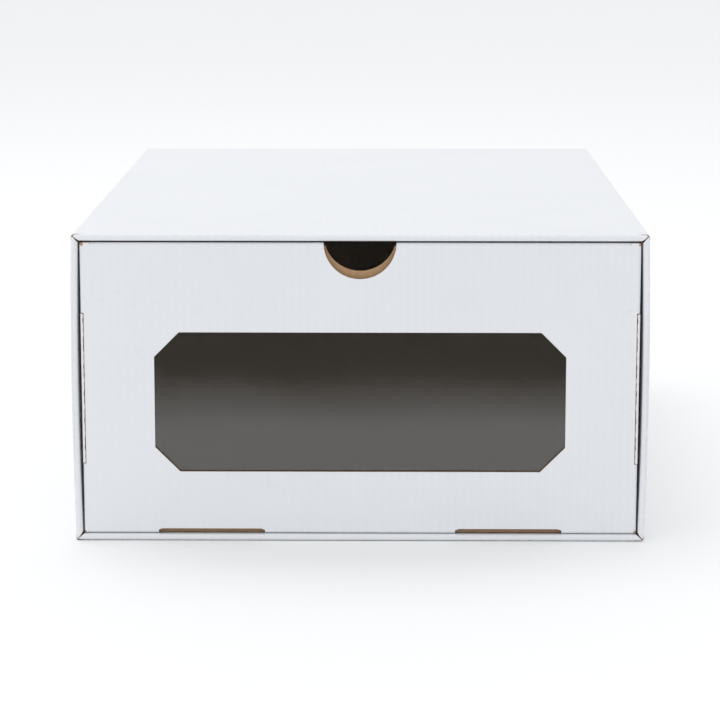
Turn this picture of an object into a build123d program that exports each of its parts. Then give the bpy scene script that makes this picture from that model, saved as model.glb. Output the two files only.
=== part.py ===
from build123d import *
import os

# A drawer box for shoes in fine-fluted corrugated board. A sleeve, folded from one sheet and open
# at the front, holds a drawer folded from another; a flap closes the sleeve's rear. Each panel
# between two creases is a solid of its own. Millimetres: +Z up, X across the front, the front
# faces -Y, and the origin is at the middle of the underside.

# Driving dimensions
outer_width = 230.0
outer_height = 125.0
outer_depth = 335.0
board = 1.3
layer_gap = 0.05
fold_gap = 0.1
bend_radius = 1.2

# Sleeve
hem_depth = 30.0
mitre_slit = 0.3
glue_flap_width = 30.0
glue_flap_taper = 10.0
glue_flap_hem_gap = 1.0
dust_flap_width = 60.0
dust_flap_taper = 12.0
dust_flap_top_gap = 6.0
tongue_length = 14.2
tongue_taper = 9.0
hinge_slit = 0.3
flap_side_inset = 1.6
flap_to_dust_flap = 0.3
tongue_floor_clearance = 1.4
tongue_to_dust_flap = 2.0

# Drawer, with the clearances that let it slide
drawer_side_clearance = 0.6
drawer_floor_clearance = 0.3
drawer_top_clearance = 0.7
drawer_recess = 0.6
drawer_to_tongue = 0.6
window_width = 165.0
window_height = 57.0
window_sill = 28.5
window_corner = 10.0
inner_window_margin = 0.4
film_thickness = 0.25
film_overlap = 10.0
notch_radius = 14.5
inner_notch_rise = 3.0
tab_length = 43.0
tab_spacing = 120.0
tab_side_clearance = 0.3
tab_end_clearance = 0.2
slot_rise = 0.6
slot_end_taper = 1.5
edge_tab_length = 61.0
edge_tab_recess = 0.1
corner_flap_length = 60.0
corner_flap_taper = 10.0

# Places worked out from them
half_width = outer_width / 2
front = -outer_depth / 2
rear = outer_depth / 2
hem_thickness = 2 * board + fold_gap
nose_radius = hem_thickness / 2
panel_front = front + nose_radius
flap_inner_face = rear - board
dust_flap_outer_face = flap_inner_face - flap_to_dust_flap
side_panel_rear = dust_flap_outer_face - board
side_inner_face = half_width - board
glue_flap_face = side_inner_face - layer_gap
tongue_bottom = board + tongue_floor_clearance
tongue_tip = flap_inner_face - tongue_length

drawer_half_width = half_width - hem_thickness - drawer_side_clearance
drawer_bottom = hem_thickness + drawer_floor_clearance
drawer_top = outer_height - hem_thickness - drawer_top_clearance
drawer_front = front + drawer_recess
drawer_rear = tongue_tip - drawer_to_tongue
drawer_middle = (drawer_front + drawer_rear) / 2
wall_foot = drawer_bottom + board
wall_head = drawer_top - board
film_face = drawer_front + board + fold_gap
front_inner_face = film_face + film_thickness + fold_gap
front_stack_rear = front_inner_face + board
rear_inner_face = drawer_rear - 2 * board - layer_gap
corner_flap_face = drawer_half_width - board - layer_gap
side_inner_outer_face = corner_flap_face - board - layer_gap
side_inner_inner_face = side_inner_outer_face - board
end_wall_half_width = side_inner_inner_face - layer_gap
side_wall_front = drawer_front + board + layer_gap
side_wall_rear = drawer_rear - board - layer_gap

os.makedirs("parts", exist_ok=True)


def save(part, label):
    """Label a finished piece and write it as one STEP file."""
    part.label = label
    export_step(part, f"parts/{label}.step")


def across(y):
    """Plane that faces -Y at the given depth: sketch x is X and sketch y is Z."""
    return Plane.XZ.offset(-y)


# Sleeve, top panel: its rear edge is cut at 45 degrees where the rear flap folds down
slit_shift = hinge_slit / 2 * 2**0.5
with BuildPart() as sleeve_top:
    with BuildSketch(Plane.YZ):
        Polygon(
            (panel_front, outer_height - board),
            (panel_front, outer_height),
            (rear - slit_shift, outer_height),
            (flap_inner_face - slit_shift, outer_height - board),
            align=None,
        )
    extrude(amount=half_width, both=True)
    fillet(sleeve_top.edges().filter_by(Axis.Y).group_by(Axis.Z)[-1], bend_radius)
save(sleeve_top.part, "sleeve_top")

# Sleeve, bottom panel: it stops short on the left, where it turns up as the glue flap
bottom_width = half_width + glue_flap_face
with BuildPart() as sleeve_bottom:
    with BuildSketch(Plane.XY):
        with Locations((half_width - bottom_width / 2, (panel_front + rear) / 2)):
            Rectangle(bottom_width, rear - panel_front)
    extrude(amount=board)
    fillet(sleeve_bottom.edges().filter_by(Axis.Y).group_by(Axis.Z)[0], bend_radius)
save(sleeve_bottom.part, "sleeve_bottom")


def side_panel(side, foot):
    """Side wall of the sleeve, from the front fold to the dust flap's crease."""
    with BuildPart() as panel:
        with BuildSketch(Plane.XY.offset(foot)):
            with Locations((side * (half_width - board / 2), (panel_front + side_panel_rear) / 2)):
                Rectangle(board, side_panel_rear - panel_front)
        extrude(amount=outer_height - board - foot)
    return panel.part


save(side_panel(-1, 0), "sleeve_left")
save(side_panel(1, board), "sleeve_right")

# Glue flap: it rises from the bottom panel's left crease and is glued inside the left panel
glue_flap_front = front + hem_depth + glue_flap_hem_gap
with BuildPart() as sleeve_glue_flap:
    with BuildSketch(Plane.YZ.offset(-glue_flap_face)):
        Polygon(
            (glue_flap_front, board),
            (drawer_rear, board),
            (drawer_rear - glue_flap_taper, board + glue_flap_width),
            (glue_flap_front + glue_flap_taper, board + glue_flap_width),
            align=None,
        )
    extrude(amount=board)
save(sleeve_glue_flap.part, "sleeve_glue_flap")


def front_hem(origin, inward, length):
    """Edge of one sleeve panel, folded inward through 180 degrees, with mitred ends."""
    depth = Vector(0, 1, 0)
    inward = Vector(inward)
    with BuildPart() as hem:
        with BuildSketch(Plane(origin, x_dir=depth, z_dir=depth.cross(inward))):
            with BuildLine():
                ThreePointArc((nose_radius, 0), (0, nose_radius), (nose_radius, hem_thickness))
                Polyline(
                    (nose_radius, hem_thickness),
                    (hem_depth, hem_thickness),
                    (hem_depth, board + fold_gap),
                    (nose_radius, board + fold_gap),
                    (nose_radius, 0),
                )
            make_face()
        extrude(amount=length / 2, both=True)
        mitre_end = length / 2 - mitre_slit / 2 * 2**0.5
        mitre_depth = 2 * hem_thickness
        with BuildSketch(Plane(origin, x_dir=inward.cross(depth), z_dir=depth)):
            Polygon(
                (-mitre_end, 0),
                (mitre_end, 0),
                (mitre_end - mitre_depth, mitre_depth),
                (mitre_depth - mitre_end, mitre_depth),
                align=None,
            )
        extrude(amount=hem_depth, mode=Mode.INTERSECT)
        with BuildSketch(across(front)):
            with Locations((0, outer_height / 2)):
                RectangleRounded(outer_width, outer_height, bend_radius)
        extrude(amount=-hem_depth, mode=Mode.INTERSECT)
    return hem.part


middle_height = outer_height / 2
save(front_hem((0, front, outer_height), (0, 0, -1), outer_width), "sleeve_hem_top")
save(front_hem((0, front, 0), (0, 0, 1), outer_width), "sleeve_hem_bottom")
save(front_hem((-half_width, front, middle_height), (1, 0, 0), outer_height), "sleeve_hem_left")
save(front_hem((half_width, front, middle_height), (-1, 0, 0), outer_height), "sleeve_hem_right")


def dust_flap(side):
    """Flap folded in from a side panel's rear edge, under the rear flap."""
    foot = tongue_bottom + board + tongue_to_dust_flap
    head = outer_height - dust_flap_top_gap
    tip = half_width - dust_flap_width
    outline = [
        (side * half_width, foot),
        (side * half_width, head),
        (side * (tip + dust_flap_taper), head),
        (side * tip, head - dust_flap_taper),
        (side * tip, foot + dust_flap_taper),
        (side * (tip + dust_flap_taper), foot),
    ]
    with BuildPart() as flap:
        with BuildSketch(across(dust_flap_outer_face)):
            Polygon(*outline, align=None)
        extrude(amount=board)
        upright_edges = flap.edges().filter_by(Axis.Z)
        fillet(upright_edges.sort_by_distance((side * half_width, rear, middle_height))[0], bend_radius)
    return flap.part


save(dust_flap(-1), "sleeve_dust_flap_left")
save(dust_flap(1), "sleeve_dust_flap_right")

# Rear flap: it hangs from the top panel's rear crease, and its head matches the 45 degree cut
flap_half_width = half_width - flap_side_inset
with BuildPart() as rear_flap:
    with BuildSketch(Plane.YZ):
        Polygon(
            (flap_inner_face, tongue_bottom),
            (rear, tongue_bottom),
            (rear, outer_height - slit_shift),
            (flap_inner_face, outer_height - board - slit_shift),
            align=None,
        )
    extrude(amount=flap_half_width, both=True)
    foot_edges = rear_flap.edges().filter_by(Axis.X).group_by(Axis.Z)[0]
    fillet(foot_edges.sort_by(Axis.Y)[-1], bend_radius)
save(rear_flap.part, "rear_flap")

# Tuck tongue at the rear flap's foot, with tapered ends that lead it into the sleeve
tongue_half_width = side_inner_face - 2 * drawer_side_clearance
with BuildPart() as rear_tongue:
    with BuildSketch(Plane.XY.offset(tongue_bottom)):
        Polygon(
            (-tongue_half_width, flap_inner_face),
            (tongue_half_width, flap_inner_face),
            (tongue_half_width - tongue_taper, tongue_tip),
            (tongue_taper - tongue_half_width, tongue_tip),
            align=None,
        )
    extrude(amount=board)
save(rear_tongue.part, "rear_tongue")

# Drawer bottom: its creases are slotted for the tabs of the four inner walls
side_tab_places = [(0, drawer_middle - tab_spacing / 2), (0, drawer_middle + tab_spacing / 2)]
end_tab_places = [(-tab_spacing / 2, 0), (tab_spacing / 2, 0)]
front_slot = front_stack_rear + layer_gap - drawer_front
rear_slot = drawer_rear - rear_inner_face + layer_gap
side_slot = drawer_half_width - side_inner_inner_face + layer_gap
with BuildPart() as drawer_floor:
    with BuildSketch(Plane.XY.offset(drawer_bottom)):
        with Locations((0, drawer_middle)):
            Rectangle(2 * drawer_half_width, drawer_rear - drawer_front)
    extrude(amount=board)
    fillet(drawer_floor.faces().sort_by(Axis.Z)[0].edges(), bend_radius)
    with BuildSketch(Plane.XY.offset(drawer_bottom)):
        for x, _ in end_tab_places:
            with Locations((x, drawer_front + front_slot / 2)):
                Rectangle(tab_length, front_slot)
            with Locations((x, drawer_rear - rear_slot / 2)):
                Rectangle(tab_length, rear_slot)
        for _, y in side_tab_places:
            for side in (-1, 1):
                with Locations((side * (drawer_half_width - side_slot / 2), y)):
                    Rectangle(side_slot, tab_length)
    extrude(amount=board, mode=Mode.SUBTRACT)
save(drawer_floor.part, "drawer_bottom")


def slot_outline(middle):
    """Chamfered top of a tab slot, cut into an outer wall's lower edge."""
    half = tab_length / 2
    Polygon(
        (middle - half, wall_foot),
        (middle + half, wall_foot),
        (middle + half - slot_end_taper, wall_foot + slot_rise),
        (middle - half + slot_end_taper, wall_foot + slot_rise),
        align=None,
    )


def tab_outlines(middles):
    """Tabs along an inner wall's lower edge, down into the slots of the bottom."""
    tab_foot = drawer_bottom + tab_end_clearance
    for middle in middles:
        with Locations((middle, (tab_foot + wall_foot + layer_gap) / 2)):
            Rectangle(tab_length - 2 * tab_side_clearance, wall_foot + layer_gap - tab_foot)


def window_outline(margin):
    """Window with cut-off corners, larger by a margin all round."""
    half = window_width / 2 + margin
    low = window_sill - margin
    high = window_sill + window_height + margin
    cut = window_corner
    points = [(half - cut, low), (half, low + cut), (half, high - cut), (half - cut, high)]
    return points + [(-x, z) for x, z in reversed(points)]


def outer_end_wall(face_y, into, is_front):
    """Outer layer of the drawer's front or rear, across its whole width."""
    with BuildPart() as wall:
        with BuildSketch(across(face_y)):
            with Locations((0, (wall_foot + drawer_top) / 2)):
                Rectangle(2 * drawer_half_width, drawer_top - wall_foot)
            with Locations((0, (wall_head + drawer_top) / 2)):
                Rectangle(2 * end_wall_half_width, drawer_top - wall_head, mode=Mode.SUBTRACT)
        extrude(amount=-into * board)
        corners = wall.edges().filter_by(Axis.Z).group_by(Axis.Y)[0 if is_front else -1]
        fillet(corners.group_by(Axis.X)[0] + corners.group_by(Axis.X)[-1], bend_radius)
        with BuildSketch(across(face_y)):
            for x, _ in end_tab_places:
                slot_outline(x)
            for side in (-1, 1):
                with Locations((side * drawer_half_width, middle_height)):
                    Rectangle(2 * (board + layer_gap), edge_tab_length + 2 * tab_side_clearance)
            if is_front:
                Polygon(*window_outline(0), align=None)
                with Locations((0, drawer_top)):
                    Circle(notch_radius)
        extrude(amount=-into * board, mode=Mode.SUBTRACT)
    return wall.part


def inner_end_wall(face_y, is_front):
    """Inner layer of the drawer's front or rear, between the side walls, with its tabs."""
    with BuildPart() as wall:
        with BuildSketch(across(face_y)):
            foot = wall_foot + layer_gap
            with Locations((0, (foot + wall_head) / 2)):
                Rectangle(2 * end_wall_half_width, wall_head - foot)
            if is_front:
                Polygon(*window_outline(inner_window_margin), align=None, mode=Mode.SUBTRACT)
                with Locations((0, drawer_top + inner_notch_rise)):
                    Circle(notch_radius, mode=Mode.SUBTRACT)
            tab_outlines([x for x, _ in end_tab_places])
        extrude(amount=-board)
    return wall.part


def spine(x_low, x_high, y_low, y_high, crease_axis):
    """Top of a rolled-over wall: it joins the outer layer to the inner one."""
    with BuildPart() as strip:
        with BuildSketch(Plane.XY.offset(wall_head)):
            with Locations(((x_low + x_high) / 2, (y_low + y_high) / 2)):
                Rectangle(x_high - x_low, y_high - y_low)
        extrude(amount=board)
        fillet(strip.edges().filter_by(crease_axis).group_by(Axis.Z)[-1], bend_radius)
    return strip.part


save(outer_end_wall(drawer_front, 1, True), "drawer_front_outer")
save(inner_end_wall(front_inner_face, True), "drawer_front_inner")
save(outer_end_wall(drawer_rear, -1, False), "drawer_rear_outer")
save(inner_end_wall(rear_inner_face, False), "drawer_rear_inner")
for side, name in ((-1, "left"), (1, "right")):
    ends = sorted((side * notch_radius, side * end_wall_half_width))
    save(spine(*ends, drawer_front, front_stack_rear, Axis.X), f"drawer_front_spine_{name}")
save(
    spine(-end_wall_half_width, end_wall_half_width, rear_inner_face, drawer_rear, Axis.X),
    "drawer_rear_spine",
)

# Window film, held between the two layers of the front
with BuildPart() as window_film:
    with BuildSketch(across(film_face)):
        with Locations((0, window_sill + window_height / 2)):
            Rectangle(window_width + 2 * film_overlap, window_height + 2 * film_overlap)
    extrude(amount=-film_thickness)
save(window_film.part, "window_film")


def outer_side_wall(side):
    """Outer layer of a drawer side, with an end tab that locks into each end wall's crease."""
    length = side_wall_rear - side_wall_front
    tab_reach = drawer_rear - drawer_front - 2 * edge_tab_recess
    outer_face = side * drawer_half_width
    with BuildPart() as wall:
        with BuildSketch(Plane.YZ.offset(outer_face)):
            with Locations((drawer_middle, (wall_foot + wall_head) / 2)):
                Rectangle(length, wall_head - wall_foot)
            with Locations((drawer_middle, middle_height)):
                Rectangle(tab_reach, edge_tab_length)
        extrude(amount=-side * board)
        with BuildSketch(Plane.YZ.offset(outer_face)):
            for _, y in side_tab_places:
                slot_outline(y)
        extrude(amount=-side * board, mode=Mode.SUBTRACT)
    return wall.part


def inner_side_wall(side):
    """Inner layer of a drawer side, with its tabs."""
    foot = wall_foot + layer_gap
    with BuildPart() as wall:
        with BuildSketch(Plane.YZ.offset(side * side_inner_outer_face)):
            with Locations((drawer_middle, (foot + wall_head) / 2)):
                Rectangle(side_wall_rear - side_wall_front, wall_head - foot)
            tab_outlines([y for _, y in side_tab_places])
        extrude(amount=-side * board)
    return wall.part


def corner_flap(side, start, direction):
    """Flap folded back from an end wall's upright crease, held inside the side wall."""
    foot = wall_foot + layer_gap
    head = wall_head - layer_gap
    tip = start + direction * corner_flap_length
    shoulder = tip - direction * corner_flap_taper
    with BuildPart() as flap:
        with BuildSketch(Plane.YZ.offset(side * corner_flap_face)):
            Polygon(
                (start, foot),
                (shoulder, foot),
                (tip, foot + corner_flap_taper),
                (tip, head - corner_flap_taper),
                (shoulder, head),
                (start, head),
                align=None,
            )
        extrude(amount=-side * board)
    return flap.part


for side, name in ((-1, "left"), (1, "right")):
    faces = sorted((side * side_inner_inner_face, side * drawer_half_width))
    save(outer_side_wall(side), f"drawer_{name}_outer")
    save(inner_side_wall(side), f"drawer_{name}_inner")
    save(spine(*faces, side_wall_front, side_wall_rear, Axis.Y), f"drawer_{name}_spine")
    save(corner_flap(side, drawer_front + board, 1), f"corner_flap_front_{name}")
    save(corner_flap(side, drawer_rear - board, -1), f"corner_flap_rear_{name}")
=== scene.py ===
import math

import bpy
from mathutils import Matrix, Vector


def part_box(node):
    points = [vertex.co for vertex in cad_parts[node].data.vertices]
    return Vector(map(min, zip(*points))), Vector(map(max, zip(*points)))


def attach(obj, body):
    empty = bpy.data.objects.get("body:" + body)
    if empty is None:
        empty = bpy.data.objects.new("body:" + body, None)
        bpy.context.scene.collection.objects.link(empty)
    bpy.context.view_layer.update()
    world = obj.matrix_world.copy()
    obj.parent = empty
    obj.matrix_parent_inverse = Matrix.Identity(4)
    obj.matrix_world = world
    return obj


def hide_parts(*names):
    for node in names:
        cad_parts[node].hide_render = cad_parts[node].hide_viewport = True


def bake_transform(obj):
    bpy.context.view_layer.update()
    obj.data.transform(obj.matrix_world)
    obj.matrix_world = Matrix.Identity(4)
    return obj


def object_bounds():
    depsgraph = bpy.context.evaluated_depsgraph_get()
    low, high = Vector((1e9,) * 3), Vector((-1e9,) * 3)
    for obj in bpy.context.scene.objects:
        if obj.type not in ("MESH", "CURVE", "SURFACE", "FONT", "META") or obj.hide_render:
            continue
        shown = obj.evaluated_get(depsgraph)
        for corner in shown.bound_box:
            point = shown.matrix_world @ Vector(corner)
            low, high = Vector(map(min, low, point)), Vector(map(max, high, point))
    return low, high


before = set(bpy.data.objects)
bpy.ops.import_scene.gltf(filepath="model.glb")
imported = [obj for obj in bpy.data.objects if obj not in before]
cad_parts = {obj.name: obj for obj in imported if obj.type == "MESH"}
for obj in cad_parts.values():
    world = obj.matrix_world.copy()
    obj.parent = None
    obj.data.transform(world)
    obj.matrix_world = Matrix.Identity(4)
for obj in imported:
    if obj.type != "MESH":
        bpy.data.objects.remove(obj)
cad_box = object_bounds()

# --- Sleeve walls ---
# Four walls of one folded sheet of fine-fluted board: a white liner outside, a brown kraft liner
# inside, and a waved sheet glued between them. The top and bottom walls keep the rounded creases.
MM = 0.001
board_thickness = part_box("sleeve_bottom")[1].z
crease_radius = board_thickness + 0.05 * MM
half_width = cad_box[1].x
sleeve_height = cad_box[1].z
sleeve_front = cad_box[0].y
sleeve_rear = cad_box[1].y
middle_height = sleeve_height / 2
liner_thickness = 0.22 * MM
fluting_thickness = 0.18 * MM
flute_pitch = 3.3 * MM
side_bow = 0.9 * MM
white_paper = (0.80, 0.81, 0.835, 1)
white_shade = (0.755, 0.77, 0.80, 1)
white_dip = (0.66, 0.68, 0.72, 1)
kraft_paper = (0.47, 0.30, 0.165, 1)
kraft_shade = (0.33, 0.20, 0.105, 1)
fluting_paper = (0.30, 0.18, 0.095, 1)
wear_reach = 0.45 * MM


def fill(tree, node, inputs):
    """Link or set a node's inputs."""
    for key, value in inputs.items():
        if isinstance(value, bpy.types.NodeSocket):
            tree.links.new(value, node.inputs[key])
        else:
            node.inputs[key].default_value = value


def add(tree, kind, inputs, **settings):
    """Add a node, set it up, and link or set its inputs."""
    node = tree.nodes.new(kind)
    for key, value in settings.items():
        setattr(node, key, value)
    fill(tree, node, inputs)
    return node


signs = {"+": "ADD", "-": "SUBTRACT", "*": "MULTIPLY", "/": "DIVIDE", "*+": "MULTIPLY_ADD"}


def calc(tree, sign, *values):
    """One step of arithmetic on single values."""
    operation = signs.get(sign, sign)
    return add(tree, "ShaderNodeMath", dict(enumerate(values)), operation=operation).outputs[0]


def calc_vector(tree, sign, *values):
    """One step of arithmetic on vectors."""
    operation = signs.get(sign, sign)
    node = add(tree, "ShaderNodeVectorMath", dict(enumerate(values)), operation=operation)
    return node.outputs["Value" if operation == "DOT_PRODUCT" else "Vector"]


def scaled(tree, vector, factor):
    """A vector times a single value."""
    inputs = {0: vector, "Scale": factor}
    return add(tree, "ShaderNodeVectorMath", inputs, operation="SCALE").outputs["Vector"]


def parted(tree, vector):
    """The X, Y and Z of a vector."""
    return add(tree, "ShaderNodeSeparateXYZ", {0: vector}).outputs


def noise(tree, vector, scale, detail):
    """Soft random tone."""
    inputs = {"Vector": vector, "Scale": scale, "Detail": detail}
    return add(tree, "ShaderNodeTexNoise", inputs).outputs["Fac"]


def either(tree, kind, condition, no, yes):
    """One of two values, by a condition."""
    inputs = {"Switch": condition, "False": no, "True": yes}
    return add(tree, "GeometryNodeSwitch", inputs, input_type=kind).outputs[0]


def marked(tree, geometry, value):
    """Write on each face which paper it is."""
    inputs = {"Geometry": geometry, "Name": "kind", "Value": value}
    kinds = {"data_type": "INT", "domain": "FACE"}
    return add(tree, "GeometryNodeStoreNamedAttribute", inputs, **kinds).outputs[0]


def new_tree(name, kind, inputs, outputs):
    """A node group with inputs and outputs named by kind of socket, and its two end nodes."""
    tree = bpy.data.node_groups.new(name, kind)
    for end, sockets in (("INPUT", inputs), ("OUTPUT", outputs)):
        for socket, labels in sockets.items():
            for label in labels:
                tree.interface.new_socket(label, in_out=end, socket_type=f"NodeSocket{socket}")
    return tree, tree.nodes.new("NodeGroupInput").outputs, tree.nodes.new("NodeGroupOutput")


def layer_tree():
    """One paper layer of the board: a thin closed slab laid along the fold line."""
    tree, given, result = new_tree(
        "paper layer", "GeometryNodeTree",
        {
            "Geometry": ["Line"],
            "Vector": ["Across"],
            "Float": ["Start", "Length", "Depth", "Thickness", "Wave Height", "Pitch"],
            "Int": ["Steps Across", "Kind"],
            "Bool": ["Wave Across"],
        },
        {"Geometry": ["Layer"]},
    )
    line = given["Line"]
    size = add(tree, "GeometryNodeAttributeDomainSize", {0: line}, component="CURVE")
    count = size.outputs["Point Count"]
    steps = {"Vertices X": count, "Vertices Y": given["Steps Across"], "Vertices Z": 2}
    block = add(tree, "GeometryNodeMeshCube", {"Size": (1, 1, 1), **steps}).outputs["Mesh"]
    facing = parted(tree, add(tree, "GeometryNodeInputNormal", {}).outputs[0])
    outside = calc(tree, "GREATER_THAN", facing["Z"], 0.5)
    kind = marked(tree, block, calc(tree, "*", outside, given["Kind"]))
    place = parted(tree, add(tree, "GeometryNodeInputPosition", {}).outputs[0])
    along = calc(tree, "+", place["X"], 0.5)
    index = calc(tree, "ROUND", calc(tree, "*", along, calc(tree, "-", count, 1)))

    def sampled(field, output, kind):
        value = add(tree, field, {}).outputs[output]
        inputs = {"Geometry": line, "Value": value, "Index": index}
        settings = {"data_type": kind, "domain": "POINT"}
        return add(tree, "GeometryNodeSampleIndex", inputs, **settings).outputs[0]

    point = sampled("GeometryNodeInputPosition", 0, "FLOAT_VECTOR")
    tangent = sampled("GeometryNodeInputTangent", 0, "FLOAT_VECTOR")
    travelled = sampled("GeometryNodeSplineParameter", "Length", "FLOAT")
    inward = calc_vector(tree, "NORMALIZE", calc_vector(tree, "CROSS_PRODUCT", given["Across"], tangent))
    sideways = calc(tree, "+", place["Y"], 0.5)
    sideways = calc(tree, "*+", sideways, given["Length"], given["Start"])
    phase = either(tree, "FLOAT", given["Wave Across"], travelled, sideways)
    wave = calc(tree, "SINE", calc(tree, "/", calc(tree, "*", phase, math.tau), given["Pitch"]))
    depth = calc(tree, "-", 0.5, place["Z"])
    depth = calc(tree, "*+", depth, given["Thickness"], given["Depth"])
    depth = calc(tree, "*+", wave, given["Wave Height"], depth)
    position = calc_vector(tree, "+", point, scaled(tree, given["Across"], sideways))
    position = calc_vector(tree, "+", position, scaled(tree, inward, depth))
    moved = add(tree, "GeometryNodeSetPosition", {"Geometry": kind, "Position": position}).outputs[0]
    fill(tree, result, {"Layer": moved})
    return tree


def board_tree():
    """Corrugated board: two liners and the fluting between them, laid along a fold line and cut out."""
    tree, given, result = new_tree(
        "folded corrugated board", "GeometryNodeTree",
        {
            "Geometry": ["Fold Line"],
            "Vector": ["Across"],
            "Float": ["Start", "Length", "Board", "Liner", "Fluting", "Pitch"],
            "Int": ["Steps Across"],
            "Bool": ["Flutes Follow Line", "Cut"],
            "Material": ["White", "Kraft", "Fluting Paper"],
            "Object": ["Cut-outs"],
        },
        {"Geometry": ["Board"]},
    )
    layer = layer_tree()
    line = given["Fold Line"]
    follow = given["Flutes Follow Line"]
    steps_per_flute = 8
    liner_clearance = 1.04
    step = calc(tree, "/", given["Pitch"], steps_per_flute)
    resampled = {"Curve": line, "Length": step}
    fine_line = add(tree, "GeometryNodeResampleCurve", resampled, mode="LENGTH").outputs[0]
    fine_steps = calc(tree, "+", calc(tree, "CEIL", calc(tree, "/", given["Length"], step)), 1)
    fluting_line = either(tree, "GEOMETRY", follow, fine_line, line)
    fluting_steps = either(tree, "INT", follow, given["Steps Across"], fine_steps)
    shared = {key: given[key] for key in ("Across", "Start", "Length", "Pitch")}
    shared["Wave Across"] = follow
    liner_inputs = {"Line": line, "Steps Across": given["Steps Across"], "Thickness": given["Liner"]}
    half_fluting = calc(tree, "*", given["Fluting"], 0.5)
    middle = calc(tree, "-", calc(tree, "*", given["Board"], 0.5), half_fluting)
    wave_height = calc(tree, "-", middle, calc(tree, "*", given["Liner"], liner_clearance))
    fluting_inputs = {"Line": fluting_line, "Steps Across": fluting_steps, "Thickness": given["Fluting"]}
    layers = [
        {**liner_inputs, "Kind": 1, "Depth": 0.0},
        {**liner_inputs, "Kind": 0, "Depth": calc(tree, "-", given["Board"], given["Liner"])},
        {**fluting_inputs, "Wave Height": wave_height, "Kind": 0, "Depth": middle},
    ]
    join = tree.nodes.new("GeometryNodeJoinGeometry")
    for values in layers:
        piece = add(tree, "GeometryNodeGroup", {**shared, **values}, node_tree=layer).outputs[0]
        if "Wave Height" in values:
            piece = marked(tree, piece, 2)
        tree.links.new(piece, join.inputs[0])
    cutter = add(tree, "GeometryNodeObjectInfo", {"Object": given["Cut-outs"]}).outputs["Geometry"]
    meshes = {"Mesh 1": join.outputs[0], "Mesh 2": cutter}
    cut = add(tree, "GeometryNodeMeshBoolean", meshes, operation="DIFFERENCE", solver="MANIFOLD")
    chosen = either(tree, "GEOMETRY", given["Cut"], join.outputs[0], cut.outputs["Mesh"])
    geometry = add(tree, "GeometryNodeRealizeInstances", {"Geometry": chosen}).outputs[0]
    kind = add(tree, "GeometryNodeInputNamedAttribute", {"Name": "kind"}, data_type="INT").outputs[0]
    for label, number in (("Kraft", None), ("White", 1), ("Fluting Paper", 2)):
        inputs = {"Geometry": geometry, "Material": given[label]}
        if number:
            inputs["Selection"] = calc(tree, "COMPARE", kind, number, 0.1)
        geometry = add(tree, "GeometryNodeSetMaterial", inputs).outputs[0]
    tidy = add(tree, "GeometryNodeRemoveAttribute", {"Geometry": geometry, "Name": "kind"})
    fill(tree, result, {"Board": tidy.outputs[0]})
    return tree


def paper_tree():
    """Paper up close: tone that drifts and has fibres, and the height of its grain."""
    tree, given, result = new_tree(
        "paper grain", "ShaderNodeTree",
        {"Vector": ["Vector"], "Float": ["Fibre Size", "Cloud Size"]},
        {"Float": ["Tone", "Fibres", "Height"]},
    )

    def cloudy(size, detail, stretch=(1, 1, 1)):
        vector = calc_vector(tree, "*", given["Vector"], stretch)
        return noise(tree, vector, calc(tree, "/", 1, size), detail)

    long = 0.22
    clouds = cloudy(given["Cloud Size"], 3)
    grain = cloudy(given["Fibre Size"], 4)
    lengthwise = cloudy(given["Fibre Size"], 2, (long, long, 1))
    crosswise = cloudy(given["Fibre Size"], 2, (1, long, long))
    fibres = calc(tree, "MAXIMUM", lengthwise, crosswise)
    tone = calc(tree, "*+", calc(tree, "-", grain, 0.5), 0.45, clouds)
    fill(tree, result, {"Tone": tone, "Fibres": fibres, "Height": calc(tree, "+", grain, fibres)})
    return tree


def washboard_tree():
    """The flutes that print through a liner as soft parallel ridges, stronger in some places."""
    tree, given, result = new_tree(
        "washboard", "ShaderNodeTree",
        {"Vector": ["Vector", "Direction"], "Float": ["Pitch"]},
        {"Float": ["Ridges"]},
    )
    run = calc_vector(tree, "DOT_PRODUCT", given["Vector"], given["Direction"])
    wave = calc(tree, "SINE", calc(tree, "/", calc(tree, "*", run, math.tau), given["Pitch"]))
    strength = calc(tree, "*+", noise(tree, given["Vector"], 14.0, 1.0), 1.2, 0.1)
    fill(tree, result, {"Ridges": calc(tree, "*", wave, strength)})
    return tree


def wear_tree():
    """Rubbed patches along the edges of a box of the given size."""
    tree, given, result = new_tree(
        "edge wear", "ShaderNodeTree",
        {"Vector": ["Vector", "Middle", "Half Size"], "Float": ["Reach"]},
        {"Float": ["Edge", "Corner"]},
    )
    offset = calc_vector(tree, "ABSOLUTE", calc_vector(tree, "-", given["Vector"], given["Middle"]))
    inset = calc_vector(tree, "-", given["Half Size"], offset)
    x, y, z = parted(tree, inset)
    total = calc(tree, "+", calc(tree, "+", x, y), z)
    nearest = calc(tree, "MINIMUM", calc(tree, "MINIMUM", x, y), z)
    farthest = calc(tree, "MAXIMUM", calc(tree, "MAXIMUM", x, y), z)
    to_edge = calc(tree, "-", calc(tree, "-", total, nearest), farthest)
    ragged = calc(tree, "-", noise(tree, given["Vector"], 420.0, 3.0), 0.5)
    for label, distance, reach in (("Edge", to_edge, 1.0), ("Corner", farthest, 3.0)):
        limit = calc(tree, "*", given["Reach"], reach)
        share = calc(tree, "/", distance, limit)
        mask = calc(tree, "-", calc(tree, "*+", ragged, 3.0, 0.9), share)
        clamped = add(tree, "ShaderNodeClamp", {"Value": calc(tree, "*", mask, 3.0)}).outputs[0]
        fill(tree, result, {label: clamped})
    return tree


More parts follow.
